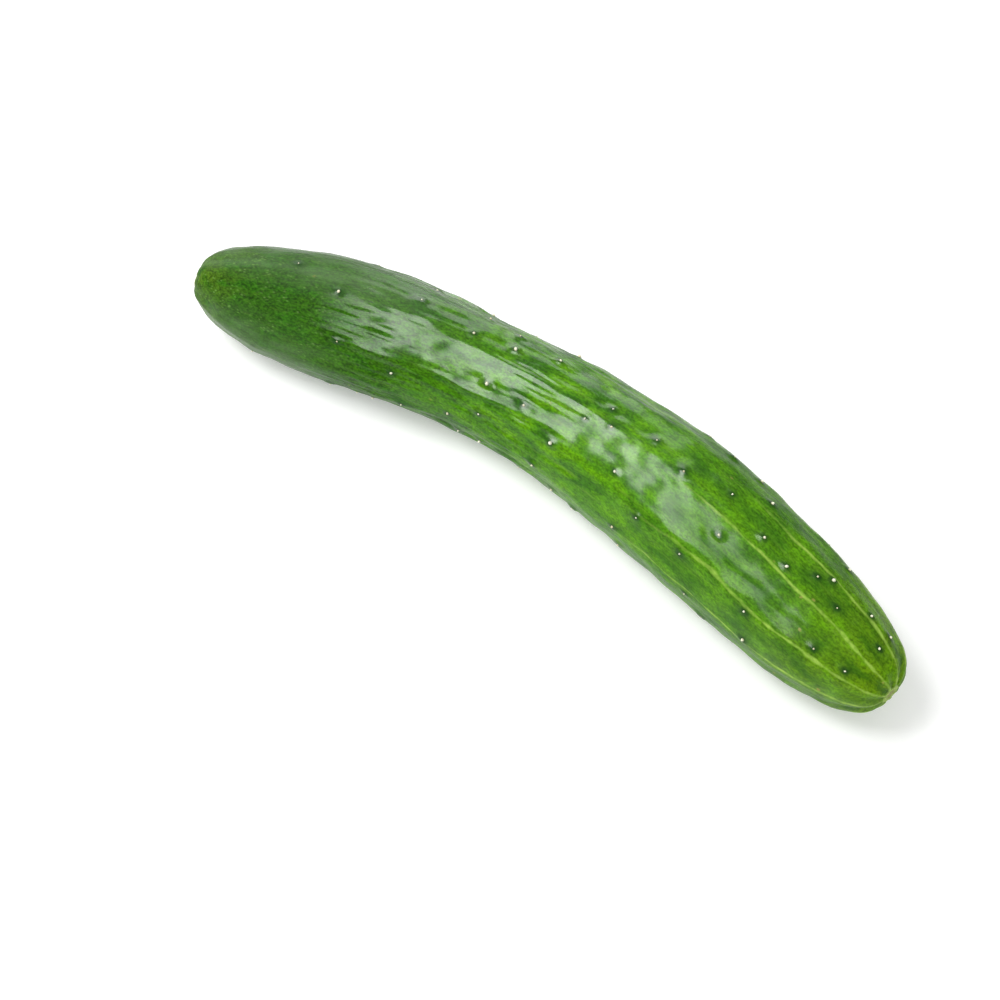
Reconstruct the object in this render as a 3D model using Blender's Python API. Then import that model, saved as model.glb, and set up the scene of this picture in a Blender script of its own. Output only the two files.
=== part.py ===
"""A whole fresh cucumber lying on its side, 205 mm long, grown as one piece.

Metres, +Z up. The stem end points to -X and the blossom end to +X. The fruit bends in the
horizontal plane, bulging towards +Y, and its underside rests on Z = 0. The origin is the centre
of the fruit's footprint, at the height of the surface that it lies on.
"""

import math

import bmesh
import bpy
from mathutils import Vector

# Driving dimensions.
LENGTH = 0.205  # along the centre line, from scar to scar
STEM_RADIUS = 0.0157  # of the stem half
BLOSSOM_RADIUS = 0.0169  # of the blossom half, the thicker one
SWELL_START = 0.106  # where the fruit starts to thicken, from the stem end
SWELL_END = 0.142
WAIST_PLACE = 0.078  # a slight waist between the two halves
WAIST_DEPTH = 0.00095
WAIST_WIDTH = 0.022
STEM_CAP = 0.068  # length over which the stem end rounds off
BLOSSOM_CAP = 0.082
CAP_FULLNESS = 3.0  # 2 is an ellipse, and more is blunter
BEND = math.radians(26.6)  # how far the centre line turns in all
BEND_START = 0.023
BEND_END = 0.156

# How the fruit lies: its tapering ends droop a little, and its weight presses the underside flat.
DROOP = 0.0012
FLAT_DEPTH = 0.0002

# The soft ridges that run from end to end.
RIDGES = 10
RIDGE_HEIGHT = 0.00022

# The scars where the stem and the blossom sat.
STEM_SCAR_RADIUS = 0.0031
BLOSSOM_SCAR_RADIUS = 0.0026
SCAR_RIM = 0.0004  # how far a scar's rim stands out
SCAR_HOLLOW = 0.0003  # how far its middle lies below the skin around it

# How finely the fruit is divided.
SIDES = 40
RINGS = 12
CAP_RINGS = 20

SKIN_COLOUR = (0.045, 0.150, 0.016, 1.0)
SKIN_ROUGHNESS = 0.38


def clear_scene():
    """Removes every object of the scene."""
    for obj in list(bpy.data.objects):
        bpy.data.objects.remove(obj, do_unlink=True)


def ease(value, start, end):
    """A smooth rise from 0 at start to 1 at end."""
    share = min(max((value - start) / (end - start), 0.0), 1.0)
    return share * share * (3.0 - 2.0 * share)


def body_radius(along):
    """The radius without the rounding of the ends."""
    swell = ease(along, SWELL_START, SWELL_END)
    waist = WAIST_DEPTH * math.exp(-(((along - WAIST_PLACE) / WAIST_WIDTH) ** 2))
    return STEM_RADIUS + (BLOSSOM_RADIUS - STEM_RADIUS) * swell - waist


def cap_share(distance, cap_length):
    """How much of the full radius is left at a distance from an end."""
    inward = min(max(1.0 - distance / cap_length, 0.0), 1.0)
    return (1.0 - inward**CAP_FULLNESS) ** (1.0 / CAP_FULLNESS)


def skin_radius(along):
    """The radius of the skin, without its ridges."""
    return (
        body_radius(along)
        * cap_share(along, STEM_CAP)
        * cap_share(LENGTH - along, BLOSSOM_CAP)
    )


def heading(along):
    """The direction of the centre line, seen from above, at a distance from the stem end."""
    return BEND * (0.5 - ease(along, BEND_START, BEND_END))


def axis_height(along):
    """The centre line's height, which keeps the underside level until the ends round off."""
    lost = body_radius(along) - skin_radius(along)
    return body_radius(along) - DROOP * (1.0 - math.exp(-lost / DROOP))


def centre_line(along, steps=160):
    """The centre line's point, its heading followed from the stem end in small steps."""
    step = along / steps
    x = sum(math.cos(heading((i + 0.5) * step)) for i in range(steps)) * step
    y = sum(math.sin(heading((i + 0.5) * step)) for i in range(steps)) * step
    return Vector((x, y, axis_height(along)))


def distance_for_radius(radius, end_radius, cap_length):
    """How far from its end a cap has this radius."""
    share = min(radius / end_radius, 1.0)
    return cap_length * (1.0 - (1.0 - share**CAP_FULLNESS) ** (1.0 / CAP_FULLNESS))


def scar_profile(scar_radius, end_radius, cap_length):
    """(distance from the end, radius) of a scar, from its middle to its edge."""
    edge = distance_for_radius(scar_radius, end_radius, cap_length)
    middle = distance_for_radius(0.4 * scar_radius, end_radius, cap_length)
    return [
        (middle + SCAR_HOLLOW, 0.40 * scar_radius),
        (edge - SCAR_RIM, 0.70 * scar_radius),
        (edge - SCAR_RIM, 0.88 * scar_radius),
        (edge, scar_radius),
    ]


def cap_profile(scar_radius, end_radius, cap_length):
    """(distance from the end, radius) of an end, from the middle of its scar outwards."""
    points = scar_profile(scar_radius, end_radius, cap_length)
    first = math.asin((scar_radius / end_radius) ** (CAP_FULLNESS / 2.0))
    for i in range(1, CAP_RINGS + 1):
        turn = first + (math.pi / 2.0 - first) * i / (CAP_RINGS + 1)
        distance = cap_length * (1.0 - math.cos(turn) ** (2.0 / CAP_FULLNESS))
        points.append((distance, None))
    return points


def stations():
    """(distance from the stem end, radius) of every ring, from the stem to the blossom."""
    stem = cap_profile(STEM_SCAR_RADIUS, STEM_RADIUS, STEM_CAP)
    blossom = cap_profile(BLOSSOM_SCAR_RADIUS, BLOSSOM_RADIUS, BLOSSOM_CAP)
    start = STEM_CAP
    end = LENGTH - BLOSSOM_CAP
    middle = [(start + (end - start) * i / RINGS, None) for i in range(RINGS + 1)]
    far = [(LENGTH - distance, radius) for distance, radius in reversed(blossom)]
    return stem + middle + far


def ridge(angle, along):
    """How far a ridge lifts the skin: nothing at the scars, all of it along the fruit."""
    fade = ease(along, 0.0, STEM_CAP) * ease(LENGTH - along, 0.0, 0.5 * BLOSSOM_CAP)
    return RIDGE_HEIGHT * fade * math.cos(RIDGES * angle)


def ring_points(along, radius):
    """The points of one ring, square to the centre line."""
    turn = heading(along)
    sideways = Vector((-math.sin(turn), math.cos(turn), 0.0))
    upwards = Vector((0.0, 0.0, 1.0))
    centre = centre_line(along)
    points = []
    for i in range(SIDES):
        angle = 2.0 * math.pi * i / SIDES
        reach = radius + ridge(angle, along)
        points.append(centre + sideways * (reach * math.cos(angle)) + upwards * (reach * math.sin(angle)))
    return points


def add_ring(bm, points):
    """Adds a closed loop of points and returns its edges."""
    verts = [bm.verts.new(point) for point in points]
    return [bm.edges.new((verts[i - 1], verts[i])) for i in range(len(verts))]


def build_mesh():
    """The fruit's closed skin, ring by ring, with both scars filled."""
    bm = bmesh.new()
    rings = []
    for along, radius in stations():
        rings.append(add_ring(bm, ring_points(along, radius or skin_radius(along))))
    for near, far in zip(rings, rings[1:]):
        bmesh.ops.bridge_loops(bm, edges=near + far)
    for edges in (rings[0], rings[-1]):
        bmesh.ops.contextual_create(bm, geom=edges)
    bmesh.ops.recalc_face_normals(bm, faces=bm.faces)
    rest_on_ground(bm)
    mesh = bpy.data.meshes.new("cucumber")
    bm.to_mesh(mesh)
    bm.free()
    return mesh


def rest_on_ground(bm):
    """Centres the fruit over the origin, with its flattened underside on Z = 0."""
    lows = [min(v.co[axis] for v in bm.verts) for axis in range(3)]
    highs = [max(v.co[axis] for v in bm.verts) for axis in range(3)]
    ground = lows[2] + FLAT_DEPTH
    shift = Vector((-(lows[0] + highs[0]) / 2.0, -(lows[1] + highs[1]) / 2.0, -ground))
    bmesh.ops.translate(bm, verts=bm.verts, vec=shift)
    for vert in bm.verts:
        vert.co.z = max(vert.co.z, 0.0)


def skin_material():
    """Waxy mid-green skin."""
    material = bpy.data.materials.new("cucumber_skin")
    material.use_nodes = True
    shader = material.node_tree.nodes["Principled BSDF"]
    shader.inputs["Base Color"].default_value = SKIN_COLOUR
    shader.inputs["Roughness"].default_value = SKIN_ROUGHNESS
    shader.inputs["Metallic"].default_value = 0.0
    return material


def main():
    clear_scene()
    mesh = build_mesh()
    mesh.materials.append(skin_material())
    mesh.shade_smooth()
    fruit = bpy.data.objects.new("cucumber", mesh)
    bpy.context.scene.collection.objects.link(fruit)


main()
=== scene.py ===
"""The looks of a whole fresh cucumber, 205 mm long, lying on a white table under soft lamps.

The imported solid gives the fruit's place and size. Its skin is modelled here with the ridges, lumps,
wrinkles and warts of the grown one, and so are the spines on its warts and the scars at its ends.
Metres, +Z up. The stem end points to -X, the blossom end to +X, and the bend bulges towards +Y.
"""

import logging
import math
import random
from collections.abc import Mapping, Sequence
from dataclasses import dataclass, field
from enum import Enum
from typing import Any

import bpy
import numpy as np
from mathutils import Matrix, Quaternion, Vector, noise


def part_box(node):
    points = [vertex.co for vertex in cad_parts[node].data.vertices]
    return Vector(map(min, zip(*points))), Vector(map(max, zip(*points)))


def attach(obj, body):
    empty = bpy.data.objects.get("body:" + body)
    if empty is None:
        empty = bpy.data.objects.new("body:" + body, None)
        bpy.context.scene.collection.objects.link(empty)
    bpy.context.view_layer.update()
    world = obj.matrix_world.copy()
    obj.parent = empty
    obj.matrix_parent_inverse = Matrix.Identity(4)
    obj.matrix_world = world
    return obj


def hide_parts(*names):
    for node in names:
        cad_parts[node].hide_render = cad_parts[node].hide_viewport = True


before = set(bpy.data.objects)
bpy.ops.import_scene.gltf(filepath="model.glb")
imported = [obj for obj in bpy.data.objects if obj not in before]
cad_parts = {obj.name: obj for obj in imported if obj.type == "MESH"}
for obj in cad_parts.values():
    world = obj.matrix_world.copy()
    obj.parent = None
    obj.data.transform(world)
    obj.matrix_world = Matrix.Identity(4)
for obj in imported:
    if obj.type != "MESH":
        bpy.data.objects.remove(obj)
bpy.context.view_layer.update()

log = logging.getLogger("cucumber")

Colour = tuple[float, float, float]
Size = tuple[float, float, float]  # along each axis, in metres
Band = tuple[float, float]  # where something starts and where it is complete
Span = tuple[float, float]  # from one value to another
Profile = tuple[tuple[float, float], ...]  # (width, height or depth) pairs
MM = 0.001
LEAST_TURN = 1e-9  # in radians
BODY = "root"


class Slot(Enum):
    """The record's material slots."""

    SKIN = "skin"
    SCAR = "scar"
    SPINE = "spine"


class End(Enum):
    """The two ends of the fruit."""

    STEM = "stem"
    BLOSSOM = "blossom"


class Use(Enum):
    """What a lamp is for."""

    LIGHTING = "lighting"
    MIRRORED = "mirrored"


# ------------------------------------------------------------------------------------ modelling


@dataclass(frozen=True)
class Ring:
    """A round section of a lofted body: its centre, the way it faces and its radius."""

    centre: Vector
    axis: Vector
    radius: float


def deselect_all() -> None:
    """Leaves nothing selected, so that an operator meets only what it is meant for."""
    if bpy.context.mode != "OBJECT":
        bpy.ops.object.mode_set(mode="OBJECT")
    bpy.ops.object.select_all(action="DESELECT")


def pick(piece: bpy.types.Object) -> None:
    """Makes a piece the only selected object and the active one.

    Args:
        piece: The piece to select.
    """
    deselect_all()
    piece.select_set(True)
    bpy.context.view_layer.objects.active = piece


def loft(name: str, rings: Sequence[Ring], sides: int) -> bpy.types.Object:
    """Draws a closed body through rings, by extruding a filled circle from each to the next.

    Args:
        name: The new piece's name.
        rings: The sections, in order. Their axes may turn about Z.
        sides: How many corners each section has.

    Returns:
        The new piece, in object mode.
    """
    deselect_all()
    first = rings[0]
    facing = first.axis.to_track_quat("Z", "Y").to_euler()
    bpy.ops.mesh.primitive_circle_add(
        vertices=sides,
        radius=first.radius,
        fill_type="NGON",
        location=first.centre,
        rotation=facing,
    )
    piece = bpy.context.object
    piece.name = name
    piece.data.name = name
    bpy.ops.object.mode_set(mode="EDIT")
    bpy.ops.mesh.select_mode(type="FACE")
    bpy.ops.mesh.select_all(action="SELECT")
    for here, there in zip(rings, rings[1:]):
        bpy.ops.mesh.extrude_region_move(TRANSFORM_OT_translate={"value": there.centre - here.centre})
        turn = math.atan2(there.axis.y, there.axis.x) - math.atan2(here.axis.y, here.axis.x)
        if abs(turn) > LEAST_TURN:
            bpy.ops.transform.rotate(value=-turn, orient_axis="Z", center_override=there.centre)
        growth = there.radius / here.radius
        bpy.ops.transform.resize(value=(growth, growth, growth), center_override=there.centre)
    bpy.ops.object.mode_set(mode="OBJECT")
    bpy.ops.object.transform_apply(location=True, rotation=True, scale=True)
    return piece


def subdivide(piece: bpy.types.Object, levels: int) -> None:
    """Rounds a piece with a Subdivision Surface modifier and applies it.

    Args:
        piece: The piece to round.
        levels: How many times each of its faces is divided.
    """
    pick(piece)
    modifier = piece.modifiers.new("rounding", "SUBSURF")
    modifier.levels = levels
    modifier.render_levels = levels
    bpy.ops.object.modifier_apply(modifier=modifier.name)


def settle(piece: bpy.types.Object) -> None:
    """Puts a piece's place into its mesh, with its faces outwards and shaded smooth.

    Args:
        piece: The finished piece.
    """
    pick(piece)
    bpy.ops.object.transform_apply(location=True, rotation=True, scale=True)
    bpy.ops.object.mode_set(mode="EDIT")
    bpy.ops.mesh.select_all(action="SELECT")
    bpy.ops.mesh.normals_make_consistent(inside=False)
    bpy.ops.object.mode_set(mode="OBJECT")
    bpy.ops.object.shade_smooth()
    deselect_all()


def read_points(piece: bpy.types.Object) -> np.ndarray:
    """Reads the places of a mesh's points.

    Args:
        piece: The piece whose mesh is read.

    Returns:
        The places, one row each.
    """
    points = np.empty(len(piece.data.vertices) * 3)
    piece.data.vertices.foreach_get("co", points)
    return points.reshape(-1, 3)


def write_points(piece: bpy.types.Object, points: np.ndarray) -> None:
    """Moves a mesh's points to new places, one row each."""
    piece.data.vertices.foreach_set("co", points.astype(np.float32).ravel())
    piece.data.update()


def read_normals(piece: bpy.types.Object) -> np.ndarray:
    """Reads the directions that a mesh's points face.

    Args:
        piece: The piece whose mesh is read.

    Returns:
        The directions, one row each.
    """
    normals = np.empty(len(piece.data.vertices) * 3)
    piece.data.vertex_normals.foreach_get("vector", normals)
    return normals.reshape(-1, 3)


def write_attribute(piece: bpy.types.Object, name: str, values: np.ndarray) -> None:
    """Stores a number or a vector at each point of a mesh, for its finish to read.

    Args:
        piece: The piece whose mesh keeps them.
        name: What the finish reads them by.
        values: The numbers, or the vectors, one row each.
    """
    kind, key = ("FLOAT_VECTOR", "vector") if values.ndim == 2 else ("FLOAT", "value")
    attribute = piece.data.attributes.new(name, kind, "POINT")
    attribute.data.foreach_set(key, values.astype(np.float32).ravel())


def ease(value: Any, start: float, end: float) -> Any:
    """A smooth rise from 0 at start to 1 at end, for a number or an array."""
    share = np.clip((value - start) / (end - start), 0.0, 1.0)
    return share * share * (3.0 - 2.0 * share)


def between(share: Any, low: float, high: float) -> Any:
    """A value that goes from low to high as a number, an array or an Amount goes from 0 to 1."""
    return low + (high - low) * share


@dataclass(frozen=True)
class Lumps:
    """Smooth noise of about -1 to 1, which shapes a surface."""

    size: Size
    seed: int
    apart: float = 17.3  # how far the noise of one seed lies from the next one's
    strength: float = 1.6  # brings the noise up to about -1 to 1

    def at(self, points: np.ndarray) -> np.ndarray:
        """The noise at each point, one row each."""
        scaled = points / np.array(self.size) + self.apart * self.seed
        return np.array([noise.noise(point) for point in scaled.tolist()]) * self.strength


# ------------------------------------------------------------------------------------ the form


@dataclass(frozen=True)
class Spots:
    """Places on the skin, told by the fruit's own measures."""

    along: np.ndarray  # distance from the stem end, on the centre line
    angle: np.ndarray  # 0 on the outer side of the bend, a quarter turn on top
    radius: np.ndarray  # distance from the centre line
    straight: np.ndarray  # the place that it would have on a straight fruit


@dataclass
class FruitForm:
    """The plain form of the fruit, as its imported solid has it: a bent line with a radius."""

    length: float = 205 * MM
    stem_radius: float = 15.7 * MM
    blossom_radius: float = 16.9 * MM
    swell_start: float = 106 * MM
    swell_end: float = 142 * MM
    waist_place: float = 78 * MM
    waist_depth: float = 0.95 * MM
    waist_width: float = 22 * MM
    stem_cap: float = 68 * MM
    blossom_cap: float = 82 * MM
    cap_fullness: float = 3.0
    bend: float = math.radians(26.6)
    bend_start: float = 23 * MM
    bend_end: float = 156 * MM
    droop: float = 1.2 * MM
    sink: float = 0.2 * MM  # how far the plain form's underside lies below the table
    nose_height: float = 0.7 * MM  # how far the stem end's tip is drawn out
    nose_radius: float = 9.5 * MM
    stem_scar: float = 3.1 * MM  # the scars' radii
    blossom_scar: float = 2.6 * MM
    line_steps: int = 2000
    locate_rounds: int = 6
    slope_step: float = 0.1 * MM
    stops: np.ndarray = field(init=False, repr=False)
    line: np.ndarray = field(init=False, repr=False)

    def __post_init__(self) -> None:
        """Draws the centre line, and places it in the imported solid's box."""
        self.stops = np.linspace(0.0, self.length, self.line_steps + 1)
        middles = (self.stops[1:] + self.stops[:-1]) / 2.0
        step = self.length / self.line_steps
        x = np.concatenate([[0.0], np.cumsum(np.cos(self.heading(middles)))]) * step
        y = np.concatenate([[0.0], np.cumsum(np.sin(self.heading(middles)))]) * step
        radius = self.skin_radius(self.stops)
        aside = radius * np.cos(self.heading(self.stops))
        low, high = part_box("cucumber")
        x += (low.x + high.x) / 2.0 - (x[0] + x[-1]) / 2.0
        y += (low.y + high.y) / 2.0 - ((y - aside).min() + (y + aside).max()) / 2.0
        self.line = np.stack([x, y, self.axis_height(self.stops) - self.sink], axis=1)

    def body_radius(self, along: Any) -> Any:
        """The radius without the rounding of the ends.

        Args:
            along: One distance from the stem end, or many.

        Returns:
            The radius at each.
        """
        swell = ease(along, self.swell_start, self.swell_end)
        waist = self.waist_depth * np.exp(-(((along - self.waist_place) / self.waist_width) ** 2))
        return between(swell, self.stem_radius, self.blossom_radius) - waist

    def cap_share(self, distance: Any, cap_length: float) -> Any:
        """How much of the full radius is left at a distance from an end."""
        inward = np.clip(1.0 - distance / cap_length, 0.0, 1.0)
        return (1.0 - inward**self.cap_fullness) ** (1.0 / self.cap_fullness)

    def skin_radius(self, along: Any) -> Any:
        """The radius of the skin.

        Args:
            along: One distance from the stem end, or many.

        Returns:
            The radius at each.
        """
        stem = self.cap_share(along, self.stem_cap)
        blossom = self.cap_share(self.length - along, self.blossom_cap)
        return self.body_radius(along) * stem * blossom

    def heading(self, along: Any) -> Any:
        """The direction of the centre line, seen from above."""
        return self.bend * (0.5 - ease(along, self.bend_start, self.bend_end))

    def axis_height(self, along: Any) -> Any:
        """The centre line's height, which keeps the underside level until the ends round off."""
        lost = self.body_radius(along) - self.skin_radius(along)
        return self.body_radius(along) - self.droop * (1.0 - np.exp(-lost / self.droop))

    def centre(self, along: Any) -> np.ndarray:
        """The centre line's place at one distance, or at many."""
        found = [np.interp(along, self.stops, self.line[:, axis]) for axis in range(3)]
        return np.stack(found, axis=-1)

    def forwards(self, along: Any) -> np.ndarray:
        """The level direction in which the centre line runs, towards the blossom."""
        turn = self.heading(along)
        return np.stack([np.cos(turn), np.sin(turn), np.zeros_like(turn)], axis=-1)

    def outwards(self, along: float, angle: float) -> Vector:
        """The direction from the centre line to the skin.

        Args:
            along: The distance from the stem end.
            angle: 0 on the outer side of the bend, and a quarter turn on top.

        Returns:
            The direction.
        """
        turn = self.heading(along)
        level = Vector((-math.sin(turn), math.cos(turn), 0.0)) * math.cos(angle)
        return level + Vector((0.0, 0.0, math.sin(angle)))

    def surface(self, along: float, angle: float) -> tuple[Vector, Vector]:
        """A place on the plain skin.

        Args:
            along: The distance from the stem end.
            angle: 0 on the outer side of the bend, and a quarter turn on top.

        Returns:
            The place, and the direction that it faces.
        """
        step = self.slope_step
        slope = (self.skin_radius(along + step) - self.skin_radius(along - step)) / (2.0 * step)
        outwards = self.outwards(along, angle)
        place = Vector(self.centre(along)) + outwards * float(self.skin_radius(along))
        facing = outwards - Vector(self.forwards(along)) * float(slope)
        return place, facing.normalized()

    def nose(self, along: Any, radius: Any) -> Any:
        """How far the skin stands out beyond the plain form, round the tip of the stem end."""
        share = 1.0 - ease(radius, 0.0, self.nose_radius)
        return self.nose_height * share * (along < self.stem_cap / 2.0)

    def scar_radius(self, end: End) -> float:
        """The radius of the scar at one end."""
        return self.stem_scar if end is End.STEM else self.blossom_scar

    def end_distance(self, end: End, radius: float) -> float:
        """Where a section near one end has a certain radius.

        Args:
            end: The end.
            radius: The radius.

        Returns:
            The section's distance from the stem end.
        """
        full = self.stem_radius if end is End.STEM else self.blossom_radius
        cap = self.stem_cap if end is End.STEM else self.blossom_cap
        share = min(radius / full, 1.0)
        distance = cap * (1.0 - (1.0 - share**self.cap_fullness) ** (1.0 / self.cap_fullness))
        return distance if end is End.STEM else self.length - distance

    def locate(self, points: np.ndarray) -> Spots:
        """Finds where points lie on the fruit, by its own measures.

        Args:
            points: The points, one row each.

        Returns:
            Their places on the fruit.
        """
        along = np.interp(points[:, 0], self.line[:, 0], self.stops)
        for _ in range(self.locate_rounds):
            offset = points - self.centre(along)
            along = along + (offset * self.forwards(along)).sum(axis=1)
            along = np.clip(along, 0.0, self.length)
        offset = points - self.centre(along)
        turn = self.heading(along)
        aside = offset[:, 1] * np.cos(turn) - offset[:, 0] * np.sin(turn)
        straight = np.stack([along, aside, offset[:, 2]], axis=1)
        angle = np.arctan2(offset[:, 2], aside)
        return Spots(along, angle, np.hypot(aside, offset[:, 2]), straight)


# ------------------------------------------------------------------------------------ the warts


@dataclass(frozen=True)
class Wart:
    """One wart of the skin, with the stub of a spine on it."""

    along: float
    angle: float
    radius: float
    height: float
    spine: float  # the size of its spine, where 1 is a common one


@dataclass(frozen=True)
class WartRule:
    """How the warts are strewn over the fruit: thinly by the stem, never crowded."""

    count: int = 108
    seed: int = 156
    tries: int = 40  # for each wart
    first: float = 16 * MM
    last: float = 199 * MM
    growth: Band = (4 * MM, 58 * MM)  # where they get common
    least_height: float = 0.4  # of the warts by the stem, as a share of the others' height
    spine_size: Span = (0.55, 1.2)
    spacing: float = 6.6 * MM
    twin_spacing: float = 2.9 * MM
    twin_share: float = 0.10
    big_share: float = 0.45
    small_radius: Span = (1.2 * MM, 1.8 * MM)
    small_height: Span = (0.30 * MM, 0.50 * MM)
    big_radius: Span = (1.4 * MM, 1.9 * MM)
    big_height: Span = (0.48 * MM, 0.70 * MM)

    def strew(self, form: FruitForm) -> list[Wart]:
        """Draws places by chance, and keeps each that is far enough from those before it.

        Args:
            form: The fruit.

        Returns:
            The warts.
        """
        chance = random.Random(self.seed)
        warts: list[Wart] = []
        for _ in range(self.tries * self.count):
            along = chance.uniform(self.first, self.last)
            angle = chance.uniform(-math.pi, math.pi)
            grown = float(ease(along, *self.growth))
            room = self.twin_spacing if chance.random() < self.twin_share else self.spacing
            big = chance.random() < self.big_share * grown
            radius = chance.uniform(*(self.big_radius if big else self.small_radius))
            height = chance.uniform(*(self.big_height if big else self.small_height))
            height *= between(grown, self.least_height, 1.0)
            spine = chance.uniform(*self.spine_size)
            if chance.random() > grown or not self.is_free(form, warts, along, angle, room):
                continue
            warts.append(Wart(along, angle, radius, height, spine))
            if len(warts) == self.count:
                break
        return warts

    def is_free(
        self, form: FruitForm, warts: Sequence[Wart], along: float, angle: float, room: float
    ) -> bool:
        """Whether there is room for a wart at a place.

        Args:
            form: The fruit.
            warts: The warts that are there already.
            along: The place's distance from the stem end.
            angle: The place's angle round the fruit.
            room: How far the other warts have to be, measured over the skin.

        Returns:
            Whether they all are.
        """
        reach = float(form.skin_radius(along))
        for wart in warts:
            apart = math.remainder(angle - wart.angle, 2.0 * math.pi) * reach
            if math.hypot(along - wart.along, apart) < room:
                return False
        return True


# ------------------------------------------------------------------------------------ finishes


@dataclass(frozen=True)
class Grain:
    """Noise of about 0.2 to 0.8, which varies a finish."""

    size: Size
    detail: float = 2.0  # how many finer grains lie in it
    shift: float = 0.0  # how far it is moved, which makes another noise of it
    levels: Band | None = None  # what of it becomes 0 and 1, or none to leave it as it is


class Amount:
    """A number that changes over a surface. An expression on it adds its Math nodes."""

    def __init__(self, recipe: "Recipe", socket: bpy.types.NodeSocket) -> None:
        """Wraps a socket of a recipe's node tree."""
        self.recipe = recipe
        self.socket = socket

    def _math(self, operation: str, *terms: Any) -> "Amount":
        """Adds one Math node."""
        node = self.recipe.node("ShaderNodeMath", {"operation": operation}, dict(enumerate(terms)))
        return Amount(self.recipe, node.outputs[0])

    def __add__(self, other: Any) -> "Amount":
        """The sum."""
        return self._math("ADD", self, other)

    def __radd__(self, other: Any) -> "Amount":
        """The sum, with this one second."""
        return self._math("ADD", other, self)

    def __sub__(self, other: Any) -> "Amount":
        """The difference."""
        return self._math("SUBTRACT", self, other)

    def __rsub__(self, other: Any) -> "Amount":
        """The difference, with this one second."""
        return self._math("SUBTRACT", other, self)

    def __mul__(self, other: Any) -> "Amount":
        """The product."""
        return self._math("MULTIPLY", self, other)

    def __rmul__(self, other: Any) -> "Amount":
        """The product, with this one second."""
        return self._math("MULTIPLY", other, self)

    def __truediv__(self, other: Any) -> "Amount":
        """The quotient."""
        return self._math("DIVIDE", self, other)

    def __pow__(self, other: Any) -> "Amount":
        """The power."""
        return self._math("POWER", self, other)

    def __abs__(self) -> "Amount":
        """The size, without the sign."""
        return self._math("ABSOLUTE", self)

    def at_most(self, other: Any) -> "Amount":
        """The smaller of the two."""
        return self._math("MINIMUM", self, other)

    def nearest_whole(self) -> "Amount":
        """The nearest whole number."""
        return self._math("ROUND", self)

    def turn_with(self, across: "Amount") -> "Amount":
        """The angle whose sine goes as this one and whose cosine goes as the other."""
        return self._math("ARCTAN2", self, across)

    def rise(self, start: Any, end: Any) -> "Amount":
        """A smooth rise from 0 to 1. It falls if start is larger than end.

        Args:
            start: Where it is 0.
            end: Where it is 1.

        Returns:
            The rise.
        """
        settings = {"interpolation_type": "SMOOTHSTEP"}
        inputs = {"Value": self, "From Min": start, "From Max": end}
        return Amount(self.recipe, self.recipe.node("ShaderNodeMapRange", settings, inputs).outputs[0])


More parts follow.
